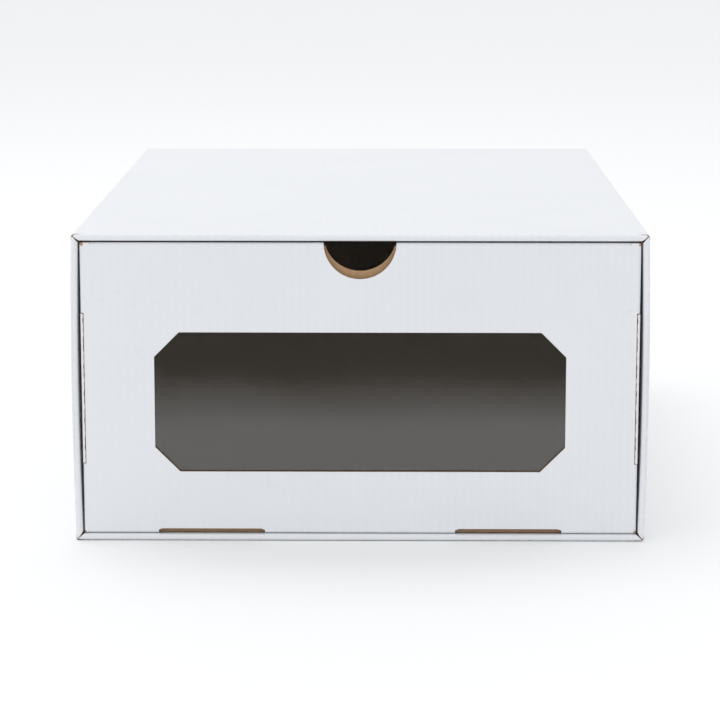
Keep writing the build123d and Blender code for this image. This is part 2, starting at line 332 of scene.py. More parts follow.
def scuff_tree():
    """Hairline scuffs in two directions, gathered in patches."""
    ends = {"Vector": ["Vector"]}, {"Float": ["Lines"]}
    tree, given, result = new_tree("hairline scuffs", "ShaderNodeTree", *ends)
    line_width = 0.012
    total = 0.0
    for turn in ((0.5, 0.3, 0.6), (0.2, -0.4, -0.5)):
        inputs = {"Vector": given["Vector"], "Rotation": turn}
        rotated = add(tree, "ShaderNodeVectorRotate", inputs, rotation_type="EULER_XYZ")
        stretched = calc_vector(tree, "*", rotated.outputs[0], (16.0, 240.0, 240.0))
        near = calc(tree, "ABSOLUTE", calc(tree, "-", noise(tree, stretched, 1.0, 1.0), 0.5))
        line = calc(tree, "-", 1.0, calc(tree, "/", near, line_width))
        total = calc(tree, "+", total, calc(tree, "MAXIMUM", line, 0.0))
    patches = calc(tree, "-", noise(tree, given["Vector"], 26.0, 2.0), 0.5)
    gathered = calc(tree, "MAXIMUM", calc(tree, "*", patches, 4.0), 0.0)
    fill(tree, result, {"Lines": calc(tree, "*", total, gathered)})
    return tree


paper_grain = paper_tree()
scuffs_group = scuff_tree()
washboard = washboard_tree()
edge_wear = wear_tree()
sleeve_middle = (cad_box[0] + cad_box[1]) / 2
sleeve_half = (cad_box[1] - cad_box[0]) / 2


def mixed(tree, factor, first, second):
    """A colour between two others."""
    inputs = {"Factor": factor, "A": first, "B": second}
    return add(tree, "ShaderNodeMix", inputs, data_type="RGBA").outputs["Result"]


def start_material(name):
    """A material with its shader, and the coordinates of the piece it is on."""
    material = bpy.data.materials.new(name)
    material.use_nodes = True
    tree = material.node_tree
    shader = tree.nodes["Principled BSDF"]
    return material, tree, shader, tree.nodes.new("ShaderNodeTexCoord").outputs["Object"]


def group(tree, node_tree, inputs):
    """A shared shader group placed in a material."""
    return add(tree, "ShaderNodeGroup", inputs, node_tree=node_tree).outputs


def raised(tree, height):
    """A surface normal that follows a height in metres."""
    inputs = {"Strength": 1.0, "Distance": 1.0, "Height": height}
    return add(tree, "ShaderNodeBump", inputs).outputs[0]


def papered(name, direction, fibre, cloud):
    """A paper material, its coordinates and grain, and the flutes that show through it."""
    material, tree, shader, where = start_material(name)
    sizes = {"Vector": where, "Fibre Size": fibre * MM, "Cloud Size": cloud * MM}
    paper = group(tree, paper_grain, sizes)
    if direction is None:
        return material, tree, shader, where, paper, None
    inputs = {"Vector": where, "Direction": direction, "Pitch": flute_pitch}
    return material, tree, shader, where, paper, group(tree, washboard, inputs)["Ridges"]


def white_liner(direction, middle=sleeve_middle, half=sleeve_half, name="sleeve"):
    """White coated liner, with the flutes faintly showing and kraft where its edges are rubbed."""
    material, tree, shader, where, paper, ridges = papered(f"white liner {name}", direction, 0.5, 45)
    inputs = {"Vector": where, "Middle": middle, "Half Size": half, "Reach": wear_reach}
    worn = group(tree, edge_wear, inputs)
    colour = mixed(tree, paper["Tone"], white_shade, white_paper)
    scuffs = group(tree, scuffs_group, {"Vector": where})["Lines"]
    dip = calc(tree, "*+", ridges, -0.05, calc(tree, "*+", scuffs, 0.5, 0.05))
    colour = mixed(tree, dip, colour, white_dip)
    bare = mixed(tree, paper["Fibres"], kraft_shade, kraft_paper)
    rubbed = calc(tree, "MAXIMUM", calc(tree, "*", worn["Edge"], 0.12), worn["Corner"])
    colour = mixed(tree, rubbed, colour, bare)
    rough = calc(tree, "*+", paper["Height"], 0.10, 0.48)
    height = calc(tree, "*", paper["Height"], 0.012 * MM)
    height = calc(tree, "*+", ridges, 0.009 * MM, height)
    height = calc(tree, "*+", scuffs, -0.012 * MM, height)
    height = calc(tree, "*+", noise(tree, where, 15.0, 1.0), 1.0 * MM, height)
    height = calc(tree, "*+", rubbed, -0.05 * MM, height)
    fill(tree, shader, {"Base Color": colour, "Roughness": rough, "Normal": raised(tree, height)})
    shader.inputs["Specular IOR Level"].default_value = 0.42
    return material


def kraft_liner(direction, name):
    """Brown unbleached liner: long fibres, darker specks, and the flutes showing through."""
    material, tree, shader, where, paper, ridges = papered(f"kraft liner {name}", direction, 0.8, 30)
    speck_size = 0.09
    specks = add(tree, "ShaderNodeTexVoronoi", {"Vector": where, "Scale": 260.0}).outputs["Distance"]
    speck = calc(tree, "LESS_THAN", specks, speck_size)
    fibres = calc(tree, "-", paper["Fibres"], 0.5)
    tone = calc(tree, "*+", ridges, 0.12, calc(tree, "*+", fibres, 0.9, paper["Tone"]))
    colour = mixed(tree, tone, kraft_shade, kraft_paper)
    colour = mixed(tree, calc(tree, "*", speck, 0.5), colour, fluting_paper)
    rough = calc(tree, "*+", paper["Tone"], 0.12, 0.74)
    height = calc(tree, "*", paper["Height"], 0.02 * MM)
    height = calc(tree, "*+", ridges, 0.02 * MM, height)
    fill(tree, shader, {"Base Color": colour, "Roughness": rough, "Normal": raised(tree, height)})
    shader.inputs["Specular IOR Level"].default_value = 0.25
    return material


def fluting_sheet():
    """The waved sheet between the liners: thin, coarse and a little darker."""
    material, tree, shader, where, paper, ridges = papered("fluting paper", None, 0.6, 12)
    colour = mixed(tree, paper["Tone"], fluting_paper, kraft_shade)
    rough = calc(tree, "*+", paper["Fibres"], 0.1, 0.8)
    height = calc(tree, "*", paper["Height"], 0.03 * MM)
    fill(tree, shader, {"Base Color": colour, "Roughness": rough, "Normal": raised(tree, height)})
    return material


X, Y, Z = Vector((1, 0, 0)), Vector((0, 1, 0)), Vector((0, 0, 1))
board_nodes = board_tree()
board_sockets = board_nodes.interface.items_tree
socket_of = {item.name: item.identifier for item in board_sockets if item.in_out == "INPUT"}
fluting_finish = fluting_sheet()
axes = tuple(zip("xyz", (X, Y, Z)))
kraft_finish = {axis: kraft_liner(vector, f"across {axis}") for axis, vector in axes}
sleeve_papers = {
    axis: (white_liner(vector, name=f"sleeve across {axis}"), kraft_finish[axis])
    for axis, vector in axes[::2]
}


def fold_line(corners, radius, spacing=None):
    """Points along the white face: straight runs joined by rounded creases."""
    corners = [Vector(c) for c in corners]
    arc_steps = 6
    least_gap = 0.002 * MM
    points = [corners[0]]
    for before, corner, after in zip(corners, corners[1:], corners[2:]):
        come, go = (corner - before).normalized(), (after - corner).normalized()
        turn = come.angle(go)
        inner = (go - come * come.dot(go)).normalized()
        centre = corner - come * radius * math.tan(turn / 2) + inner * radius
        for step in range(arc_steps + 1):
            angle = turn * step / arc_steps
            points.append(centre + (come * math.sin(angle) - inner * math.cos(angle)) * radius)
    points.append(corners[-1])
    line = [points[0]]
    for point in points[1:]:
        gap = (point - line[-1]).length
        if gap < least_gap:
            continue
        extra = math.ceil(gap / spacing) if spacing else 1
        start = line[-1]
        line += [start.lerp(point, step / extra) for step in range(1, extra + 1)]
    return line


def as_object(name, data):
    """An object for the given mesh or curve, in the scene."""
    item = bpy.data.objects.new(name, data)
    bpy.context.scene.collection.objects.link(item)
    return item


def from_faces(name, verts, faces):
    """An object with a mesh of the given points and faces."""
    mesh = bpy.data.meshes.new(name)
    mesh.from_pydata(verts, [], faces)
    return as_object(name, mesh)


def prisms(outlines):
    """Closed prisms to cut with, each an outline of points and the vector it is drawn along."""
    verts, faces = [], []
    for outline, along in outlines:
        base, count = len(verts), len(outline)
        near = [Vector(p) for p in outline]
        turning = sum((a.cross(b) for a, b in zip(near, near[1:] + near[:1])), Vector())
        if turning.dot(along) < 0:
            near.reverse()
        verts += near + [p + along for p in near]
        faces.append([base + k for k in reversed(range(count))])
        faces.append([base + count + k for k in range(count)])
        for k in range(count):
            after = (k + 1) % count
            faces.append([base + k, base + after, base + count + after, base + count + k])
    return from_faces("cut-outs", verts, faces)


def slab(low, high):
    """A box from its lowest to its highest corner, as a prism to cut with."""
    (x0, y0, z0), (x1, y1, z1) = low, high
    return [(x0, y0, z0), (x1, y0, z0), (x1, y1, z0), (x0, y1, z0)], Z * (z1 - z0)


smooth_angle = math.radians(32)


def lay_board(name, line, across, span, papers, follow, cuts=(), steps=2):
    """Board along a fold line, from span[0] to span[1] in the direction across, as a plain mesh."""
    curve = bpy.data.curves.new(name, "CURVE")
    curve.dimensions = "3D"
    spline = curve.splines.new("POLY")
    spline.points.add(len(line) - 1)
    for point, place in zip(spline.points, line):
        point.co = (*place, 1)
    blank = as_object(f"{name}_blank", curve)
    cutter = prisms(cuts) if cuts else None
    modifier = blank.modifiers.new("board", "NODES")
    modifier.node_group = board_nodes
    values = {
        "Across": across, "Start": span[0], "Length": span[1] - span[0], "Steps Across": steps,
        "Board": board_thickness, "Liner": liner_thickness, "Fluting": fluting_thickness,
        "Flutes Follow Line": follow, "Pitch": flute_pitch,
        "White": papers[0], "Kraft": papers[1], "Fluting Paper": fluting_finish,
        "Cut": bool(cuts), "Cut-outs": cutter,
    }
    for label, value in values.items():
        modifier[socket_of[label]] = value
    depsgraph = bpy.context.evaluated_depsgraph_get()
    mesh = bpy.data.meshes.new_from_object(blank.evaluated_get(depsgraph), depsgraph=depsgraph)
    blank.modifiers.remove(modifier)
    for spare in filter(None, (blank, cutter)):
        bpy.data.objects.remove(spare)
    mesh.name = name
    mesh.shade_smooth()
    mesh.set_sharp_from_angle(angle=smooth_angle)
    return as_object(name, mesh)


def move_points(piece, change):
    """Move each point of a piece's mesh to where the given function says."""
    for vertex in piece.data.vertices:
        vertex.co = change(vertex.co.copy())
    piece.data.update()


def belongs(piece, body, slot, *nodes):
    """The piece stands for its CAD nodes and moves with their body."""
    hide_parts(*nodes)
    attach(piece, body)


def board(node, *laid, changes=(), body="drawer", slot="white_board"):
    """Lay a board, move its points, and let it stand for its CAD node."""
    piece = lay_board(f"{node}_board", *laid)
    for change in changes:
        move_points(piece, change)
    belongs(piece, body, slot, node)
    return piece


def in_xz(*pairs):
    """Points in the plane y = 0."""
    return [(x, 0, z) for x, z in pairs]


def bowed(point):
    """Side walls bulge outward, most at mid-height."""
    reach = middle_height - crease_radius
    share = max(0.0, 1 - ((point.z - middle_height) / reach) ** 2)
    point.x += math.copysign(side_bow * share, point.x)
    return point


nose_radius = (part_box("sleeve_hem_top")[1].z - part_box("sleeve_hem_top")[0].z) / 2
panel_front = sleeve_front + nose_radius
crease_top = sleeve_height - crease_radius
wall_spacing = 8 * MM
wall_steps = 12
top_corners = in_xz(
    (-half_width, crease_top), (-half_width, sleeve_height),
    (half_width, sleeve_height), (half_width, crease_top),
)
top_line = fold_line(top_corners, crease_radius, wall_spacing)
top_span = (panel_front, sleeve_rear - crease_radius)
board("sleeve_top", top_line, Y, top_span, sleeve_papers["x"], False, (), wall_steps, body="sleeve")

glue_low, glue_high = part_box("sleeve_glue_flap")
bottom_corners = in_xz(
    (half_width, crease_radius), (half_width, 0), (glue_low.x, 0), (glue_low.x, crease_radius)
)
bottom_line = fold_line(bottom_corners, crease_radius, wall_spacing)
board(
    "sleeve_bottom", bottom_line, Y, (panel_front, sleeve_rear),
    sleeve_papers["x"], False, (), wall_steps, body="sleeve",
)

side_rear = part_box("sleeve_dust_flap_left")[1].y - crease_radius
for side, name, ends in ((-1, "left", (0, crease_top)), (1, "right", (crease_top, crease_radius))):
    side_line = fold_line([(side * half_width, 0, z) for z in ends], 0, wall_spacing)
    board(
        f"sleeve_{name}", side_line, Y, (panel_front, side_rear),
        sleeve_papers["z"], False, (), wall_steps, changes=[bowed], body="sleeve",
    )

# --- Glue flap ---
# The blank's last panel, with tapered ends. It turns up from the bottom wall's left crease and is
# glued to the inside of the left wall, white side against the wall.
glue_taper = 10 * MM
cutter_reach = 4 * MM
glue_line = fold_line([(glue_low.x, 0, crease_radius), (glue_low.x, 0, glue_high.z)], 0)


def tapers(edges, root, tip, width, place, along):
    """Prisms that cut a flap's two ends off at an angle, from its root to beyond its tip."""
    cuts = []
    for edge, slope in zip(edges, (1, -1)):
        triangle = ((root, edge - slope * MM), (tip, edge + slope * width), (tip, edge - slope * MM))
        cuts.append(([place(*pair) for pair in triangle], along * cutter_reach))
    return cuts


glue_span = (glue_low.y, glue_high.y)
glue_cuts = tapers(
    glue_span, glue_low.z, glue_high.z + MM, glue_taper, lambda z, y: (glue_low.x - MM, y, z), X
)
board(
    "sleeve_glue_flap", glue_line, Y, glue_span, sleeve_papers["z"], False, glue_cuts,
    body="sleeve", slot="kraft_board",
)

# --- Front rim ---
# The four walls' front edges, each folded back inside on itself to make a rounded double rim.
# The ends are mitred and leave a thin dark slit at each corner.
hem_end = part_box("sleeve_hem_top")[1].y
hem_spacing = 4 * MM
hem_steps = 48
mitre_slit = 0.2 * MM
corner_hole = 0.45 * MM


def hem_line(outer, inward):
    """Fold line of a hem: forward along the wall, round the nose and back inside."""
    start = outer + Y * panel_front
    nose = outer + Y * sleeve_front
    turn = nose + inward * nose_radius * 2
    points = [start, nose, turn, turn + Y * (hem_end - sleeve_front)]
    return fold_line(points, nose_radius, hem_spacing)


def mitred(along, inward, outer, half_length):
    """Shorten a hem by its depth below the outer face, so that its ends meet the next one's."""

    def change(point):
        depth = (point - outer).dot(inward)
        run = point.dot(along)
        middle = outer.dot(along)
        hole = corner_hole * (max(depth, 0) / (2 * nose_radius)) ** 3
        limit = half_length - max(depth, 0) - mitre_slit - hole
        shorter = middle + (run - middle) * limit / half_length
        point += along * (shorter - run)
        beside = half_length - abs(shorter - middle)
        if beside < crease_radius and depth < crease_radius:
            into = Vector((crease_radius - beside, crease_radius - depth))
            if into.length > crease_radius:
                pull = into * (1 - crease_radius / into.length)
                point -= along * math.copysign(pull.x, shorter - middle) - inward * pull.y
        return point

    return change


hems = (
    ("top", Vector((0, 0, sleeve_height)), -Z, X, half_width, "x"),
    ("bottom", Vector((0, 0, 0)), Z, -X, half_width, "x"),
    ("left", Vector((-half_width, 0, middle_height)), X, Z, middle_height, "z"),
    ("right", Vector((half_width, 0, middle_height)), -X, -Z, middle_height, "z"),
)
for name, outer, inward, across, half_length, axis in hems:
    changes = [mitred(across, inward, outer, half_length)]
    if axis == "z":
        changes.append(bowed)
    board(
        f"sleeve_hem_{name}", hem_line(outer, inward), across, (-half_length, half_length),
        sleeve_papers[axis], True, (), hem_steps, changes=changes, body="sleeve",
    )

# --- Dust flaps ---
# Two flaps with cut-off corners, folded in from the side walls at the rear. The rear flap closes
# over them.
sides = ((-1, "left"), (1, "right"))
dust_taper = 12 * MM
dust_steps = 37
bow_fade = 10 * MM


def bowed_near_side(point):
    """The flap's crease follows the bowed side wall, and the bow fades out across the flap."""
    share = max(0.0, 1 - (half_width - abs(point.x)) / bow_fade)
    return point.lerp(bowed(point.copy()), share)


for side, name in sides:
    low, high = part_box(f"sleeve_dust_flap_{name}")
    tip = low.x if side > 0 else high.x
    face = high.y
    dust_points = [(side * half_width, side_rear, 0), (side * half_width, face, 0), (tip, face, 0)]
    dust_line = fold_line(dust_points, crease_radius, wall_spacing)
    dust_cuts = tapers(
        (low.z, high.z), tip + side * dust_taper, tip - side * MM, dust_taper,
        lambda x, z: (x, low.y - MM, z), Y,
    )
    span = (low.z, high.z) if side > 0 else (-high.z, -low.z)
    flap = lay_board(
        f"dust_flap_{name}_board", dust_line, Z * side, span, sleeve_papers["z"], True, dust_cuts, dust_steps
    )
    move_points(flap, bowed_near_side)
    belongs(flap, "sleeve", "white_board", f"sleeve_dust_flap_{name}")

# --- Rear flap, tongue and crease ---
# The flap hangs from the top wall's rear crease and closes the sleeve, with a tongue tucked in at
# its foot. The crease itself is a strip of the same board.
def in_yz(*pairs):
    """Points in the plane x = 0."""
    return [(0, y, z) for y, z in pairs]


flap_low, flap_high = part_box("rear_flap")
tongue_low, tongue_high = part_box("rear_tongue")
flap_start = sleeve_rear - crease_radius
flap_points = in_yz((sleeve_rear, crease_top), (sleeve_rear, tongue_low.z), (flap_start, tongue_low.z))
flap_line = fold_line(flap_points, crease_radius, wall_spacing)
flap_span = (flap_low.x, flap_high.x)
board("rear_flap", flap_line, -X, flap_span, sleeve_papers["x"], True, body="rear_closure")
tongue_taper = 9 * MM
tongue_line = fold_line(in_yz((flap_start, tongue_low.z), (tongue_low.y, tongue_low.z)), 0)
tongue_cuts = tapers(
    (-tongue_high.x, tongue_high.x), tongue_high.y, tongue_low.y - MM, tongue_taper,
    lambda y, x: (x, y, tongue_low.z - MM), Z,
)
board(
    "rear_tongue", tongue_line, -X, (tongue_low.x, tongue_high.x),
    sleeve_papers["x"], True, tongue_cuts, body="rear_closure",
)
crease_points = in_yz((flap_start, sleeve_height), (sleeve_rear, sleeve_height), (sleeve_rear, crease_top))
crease_line = fold_line(crease_points, crease_radius)
crease = lay_board("rear_crease_board", crease_line, -X, flap_span, sleeve_papers["x"], True)
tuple(crease_line[0])
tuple(crease_line[-1])
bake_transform(crease)

# --- Drawer bottom ---
# The drawer's own sheet lies white side down, so its floor is kraft. Slots cut through its
# creases take the tabs of the rolled-over walls.
drawer_low, drawer_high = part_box("drawer_bottom")
drawer_half = drawer_high.x
drawer_front, drawer_rear = drawer_low.y, drawer_high.y
drawer_foot = drawer_low.z
drawer_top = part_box("drawer_front_outer")[1].z
drawer_middle = (drawer_front + drawer_rear) / 2
tab_length = 43 * MM
tab_offset = 60 * MM
end_tabs = (-tab_offset, tab_offset)
side_tabs = (drawer_middle - tab_offset, drawer_middle + tab_offset)
slot_rise = 0.6 * MM
slot_taper = 1.5 * MM
drawer_centre = Vector((0, drawer_middle, (drawer_foot + drawer_top) / 2))
drawer_size = Vector((drawer_half, (drawer_rear - drawer_front) / 2, (drawer_top - drawer_foot) / 2))
drawer_papers = {
    axis: (white_liner(vector, drawer_centre, drawer_size, f"drawer across {axis}"), kraft_finish[axis])
    for axis, vector in axes
}
front_inner_low, front_inner_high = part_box("drawer_front_inner")
rear_inner_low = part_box("drawer_rear_inner")[0]
side_inner_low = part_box("drawer_right_inner")[0]
slot_play = 0.05 * MM


def foot_prism(along, out, near, far, profile):
    """A profile of runs and rises at the drawer's foot, drawn out from near to far."""
    outline = [along * run + out * near + Z * (drawer_foot + rise) for run, rise in profile]
    return outline, out * (far - near)


def slot_prism(middle, along, out, near, far):
    """Prism with chamfered ends for one tab slot, from below the bottom to just above its crease."""
    half = tab_length / 2
    top = board_thickness + slot_rise
    profile = ((-half, -MM), (half, -MM), (half, board_thickness), (half - slot_taper, top))
    profile += ((slot_taper - half, top), (-half, board_thickness))
    return foot_prism(along, out, near, far, [(middle + run, rise) for run, rise in profile])


def end_slots():
    """Slots at the front and rear creases."""
    cuts = []
    for x in end_tabs:
        cuts.append(slot_prism(x, X, Y, drawer_front - MM, front_inner_high.y + slot_play))
        cuts.append(slot_prism(x, X, Y, rear_inner_low.y - slot_play, drawer_rear + MM))
    return cuts


def side_slots():
    """Slots at the side creases."""
    ends = (side_inner_low.x - slot_play, drawer_half + MM)
    return [slot_prism(y, Y, X * side, *ends) for y in side_tabs for side in (-1, 1)]


floor_edge = drawer_half - crease_radius
floor_line = fold_line([(floor_edge, 0, drawer_foot), (-floor_edge, 0, drawer_foot)], 0)
floor_span = (drawer_front + crease_radius, drawer_rear - crease_radius)
board(
    "drawer_bottom", floor_line, Y, floor_span, drawer_papers["x"], False,
    end_slots() + side_slots(), slot="kraft_board",
)

# --- Drawer front ---
# The front is folded up from the bottom, over a narrow spine and down inside. It has a window
# with cut-off corners, and a half-round thumb notch that is a little shallower in the inner layer.
window_width = 165 * MM
window_height = 57 * MM
window_sill = 28.5 * MM
window_corner = 10 * MM
inner_margin = 0.4 * MM
wall_foot = drawer_foot + board_thickness
drawer_head = drawer_top - crease_radius
notch_radius = 14.5 * MM
inner_notch_rise = 3 * MM
notch_overlap = 0.8 * MM
notch_points = 96
end_wall_half = front_inner_high.x
cut_depth = 12 * MM
tab_play = 0.3 * MM


def window_prism(margin):
    """The window, larger by a margin all round."""
    half = window_width / 2 + margin
    low = window_sill - margin
    high = window_sill + window_height + margin
    right = [(half - window_corner, low), (half, low + window_corner)]
    right += [(half, high - window_corner), (half - window_corner, high)]
    outline = right + [(-x, z) for x, z in reversed(right)]
    start = drawer_front - cut_depth / 2
    return [(x, start, z) for x, z in outline], Y * cut_depth


def notch_prism(rise):
    """The thumb notch: a round cut centred near the top edge."""
    turns = [math.tau * k / notch_points for k in range(notch_points)]
    centre = drawer_top + rise
    start = drawer_front - cut_depth / 2
    outline = [(notch_radius * math.cos(a), start, centre + notch_radius * math.sin(a)) for a in turns]
    return outline, Y * cut_depth


def below_tabs(along, out, near, far, middles, limit):
    """Prisms that cut away an inner wall's foot between its tabs."""
    half = tab_length / 2 - tab_play
    top = board_thickness + slot_play
    stops = [-limit - MM]
    for middle in middles:
        stops += [middle - half, middle + half]
    stops.append(limit + MM)
    return [
        foot_prism(along, out, near, far, [(start, -MM), (end, -MM), (end, top), (start, top)])
        for start, end in zip(stops[::2], stops[1::2])
    ]


def paint_where(piece, finish, chosen):
    """Give a finish to the faces whose middle is in the chosen place."""
    index = piece.data.materials.find(finish.name)
    for polygon in piece.data.polygons:
        if chosen(polygon.center):
            polygon.material_index = index


def front_opening():
    """The outer wall's upper edge, cut away where the spine rolls over, and the notch below it."""
    dip = math.asin((drawer_top - drawer_head) / notch_radius)
    steps = notch_points // 2
    turns = [dip - math.pi + (math.pi - 2 * dip) * k / steps for k in range(steps + 1)]
    profile = [(notch_radius * math.cos(a), drawer_top + notch_radius * math.sin(a)) for a in turns]
    profile = [(-end_wall_half, drawer_head), *profile, (end_wall_half, drawer_head)]
    profile += [(end_wall_half, drawer_top + MM), (-end_wall_half, drawer_top + MM)]
    return [(x, drawer_front - MM, z) for x, z in profile], Y * cutter_reach


def outer_wall_line(face, inside):
    """Fold line of an end wall, up from the drawer's bottom."""
    points = in_yz((face + inside * crease_radius, drawer_foot), (face, drawer_foot), (face, drawer_top))
    return fold_line(points, crease_radius, wall_spacing)


def spine_line(section, outer, inner, radius):
    """Fold line of a spine: up the outer wall, over the top and down the inner one."""
    rise = section((outer, drawer_head), (outer, drawer_top))
    return fold_line(rise + section((inner, drawer_top), (inner, drawer_head)), radius)


def inner_wall(name, face, foot, cuts):
    """The inner layer of an end wall, its tab faces at the foot given the darker fluting paper as painted
    shade in the slots.
    """
    line = fold_line(in_yz((face, drawer_head), (face, wall_foot + slot_rise), (face, foot)), 0, wall_spacing)
    along = -X if name == "front" else X
    piece = board(f"drawer_{name}_inner", line, along, end_span, drawer_papers["x"], True, cuts)
    # Painted shade: the faces at the foot, seen through the slots, take the darker fluting paper so that the
    # slots look shaded.
    paint_where(piece, fluting_finish, lambda centre: centre.z < wall_foot + slot_rise)


end_span = (-end_wall_half, end_wall_half)
outer_span = (-floor_edge, floor_edge)
front_cuts = [window_prism(0), front_opening(), *end_slots()]
front_line = outer_wall_line(drawer_front, 1)
board("drawer_front_outer", front_line, -X, outer_span, drawer_papers["x"], True, front_cuts)
front_spine_line = spine_line(in_yz, drawer_front, front_inner_high.y, crease_radius)
for side, name in sides:
    span = sorted((-side * (notch_radius - notch_overlap), -side * end_wall_half))
    cuts = [notch_prism(0)]
    board(f"drawer_front_spine_{name}", front_spine_line, -X, span, drawer_papers["x"], True, cuts)
inner_cuts = [window_prism(inner_margin), notch_prism(inner_notch_rise)]
inner_cuts += below_tabs(X, Y, front_inner_low.y - MM, front_inner_high.y + MM, end_tabs, end_wall_half)
inner_wall("front", front_inner_high.y, front_inner_low.z, inner_cuts)

# --- Window film ---
# Lightly smoked plastic film, a quarter of a millimetre thick, held between the front's two
# layers. It isn't quite flat, so reflections waver in it.
film_low, film_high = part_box("window_film")
film_columns, film_rows = 60, 26
film_sag = 0.06 * MM
film_wrinkle = 0.12 * MM
film_angle = math.radians(30)
film_points, film_faces = [], []
for layer_y in (film_low.y, film_high.y):
    for row in range(film_rows + 1):
        for column in range(film_columns + 1):
            across, up = column / film_columns, row / film_rows
            ripple = math.sin(across * 11 + up * 3) * math.sin(across * math.pi) * math.sin(up * math.pi)
            x = film_low.x + (film_high.x - film_low.x) * across
            z = film_low.z + (film_high.z - film_low.z) * up
            film_points.append((x, layer_y + film_sag * ripple, z))
stride = film_columns + 1
layer_count = (film_rows + 1) * stride
for row in range(film_rows):
    for column in range(film_columns):
        a = row * stride + column
        quad = [a, a + 1, a + stride + 1, a + stride]
        film_faces.append(quad)
        film_faces.append([layer_count + k for k in reversed(quad)])
rim = list(range(stride))
rim += [row * stride + film_columns for row in range(1, film_rows + 1)]
rim += [film_rows * stride + column for column in range(film_columns - 1, -1, -1)]
rim += [row * stride for row in range(film_rows - 1, 0, -1)]
for a, b in zip(rim, rim[1:] + rim[:1]):
    film_faces.append([b, a, a + layer_count, b + layer_count])
film = from_faces("window_film_sheet", film_points, film_faces)
film.data.shade_smooth()
film.data.set_sharp_from_angle(angle=film_angle)
film_finish, tree, shader, where = start_material("smoked film")
film_look = {
    "Base Color": (0.45, 0.39, 0.32, 1),
    "Roughness": calc(tree, "*+", noise(tree, where, 900.0, 3.0), 0.04, 0.05),
    "Normal": raised(tree, calc(tree, "*", noise(tree, where, 22.0, 2.0), film_wrinkle)),
    "Transmission Weight": 1.0, "IOR": 1.6, "Coat Weight": 0.9, "Coat Roughness": 0.08,
}
fill(tree, shader, film_look)
film.data.materials.append(film_finish)
belongs(film, "drawer", "film", "window_film")

# --- Drawer rear ---
# Folded over like the front, with the same tabs and slots, but without a window or a notch. Its
# spine is in one piece and fully rounded.
spine_low = (-end_wall_half, drawer_rear - cutter_reach, drawer_head)
rear_spine_gap = slab(spine_low, (end_wall_half, drawer_rear + MM, drawer_top + MM))
rear_line = outer_wall_line(drawer_rear, -1)
rear_cuts = [*end_slots(), rear_spine_gap]
board("drawer_rear_outer", rear_line, X, outer_span, drawer_papers["x"], True, rear_cuts)
rear_radius = (drawer_rear - rear_inner_low.y) / 2
rear_spine_line = spine_line(in_yz, drawer_rear, rear_inner_low.y, rear_radius)
board("drawer_rear_spine", rear_spine_line, X, end_span, drawer_papers["x"], True)
foot_cuts = below_tabs(X, Y, rear_inner_low.y - MM, drawer_rear, end_tabs, end_wall_half)
inner_wall("rear", rear_inner_low.y, rear_inner_low.z, foot_cuts)

# --- Drawer sides ---
# Each side is an outer wall, a spine and an inner wall rolled over the corner flaps. Upright tabs
# at the outer wall's ends lock into slots in the front's and rear's creases.
edge_tab_length = 61 * MM
edge_tab_low = middle_height - edge_tab_length / 2
edge_tab_high = middle_height + edge_tab_length / 2
spine_front, spine_rear = (corner.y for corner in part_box("drawer_left_spine"))
tab_front, tab_rear = (corner.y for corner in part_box("drawer_left_outer"))
lip_thickness = 0.12 * MM
lip_width = 0.9 * MM
lip_waver = 0.08 * MM
lip_steps = 80


def crushed_lips(name, outer_x, side):
    """White liner dragged over the cut ends of a side wall's two tabs, slightly ragged."""
    verts, faces = [], []
    for end, tip in ((1, tab_front), (-1, tab_rear)):
        base = len(verts)
        behind = tip + end * lip_thickness
        for step in range(lip_steps + 1):
            z = edge_tab_low + edge_tab_length * step / lip_steps
            width = lip_width + lip_waver * (math.sin(step * 1.3) + math.sin(step * 0.47))
            lip = outer_x - side * width
            profile = ((outer_x, behind), (outer_x - side * lip_thickness, tip), (lip, tip), (lip, behind))
            verts += [(x, y, z) for x, y in profile]
        strip = []
        for row in range(base, base + 4 * lip_steps, 4):
            ring = [(row + a, row + (a + 1) % 4) for a in range(4)]
            strip += [[a, b, b + 4, a + 4] for a, b in ring]
        top = base + 4 * lip_steps
        strip += [[base + 3, base + 2, base + 1, base], [top, top + 1, top + 2, top + 3]]
        turned = side * end < 0
        faces += [face if turned else face[::-1] for face in strip]
    lips = from_faces(name, verts, faces)
    lips.data.materials.append(drawer_papers["z"][0])
    return lips


for side, name in sides:
    across = -Y * side
    outer_x, inner_x = side * drawer_half, side * side_inner_low.x
    points = in_xz((side * floor_edge, drawer_foot), (outer_x, drawer_foot), (outer_x, drawer_head))
    side_line = fold_line(points, crease_radius, wall_spacing)
    cuts = side_slots()
    x_low, x_high = sorted((outer_x + side * MM, outer_x - side * cutter_reach))
    for y_low, y_high in ((tab_front - MM, spine_front), (spine_rear, tab_rear + MM)):
        cuts.append(slab((x_low, y_low, drawer_foot - MM), (x_high, y_high, edge_tab_low)))
        cuts.append(slab((x_low, y_low, edge_tab_high), (x_high, y_high, drawer_top)))
    span = sorted((-side * (tab_front + lip_thickness), -side * (tab_rear - lip_thickness)))
    board(f"drawer_{name}_outer", side_line, across, span, drawer_papers["z"], False, cuts)
    lips = crushed_lips(f"drawer_{name}_tab_edges", outer_x, side)
    belongs(lips, "drawer", "white_board", f"drawer_{name}_outer")
    spine_span = sorted((-side * spine_front, -side * spine_rear))
    top_line = spine_line(in_xz, outer_x, inner_x, crease_radius)
    board(f"drawer_{name}_spine", top_line, across, spine_span, drawer_papers["x"], False)
    tab_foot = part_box(f"drawer_{name}_inner")[0].z
    inner_line = fold_line(in_xz((inner_x, drawer_head), (inner_x, tab_foot)), 0, wall_spacing)
    limit = spine_rear - spine_front
    foot_cuts = below_tabs(Y, X * side, side_inner_low.x - MM, drawer_half, side_tabs, limit)
    board(f"drawer_{name}_inner", inner_line, across, spine_span, drawer_papers["z"], False, foot_cuts)

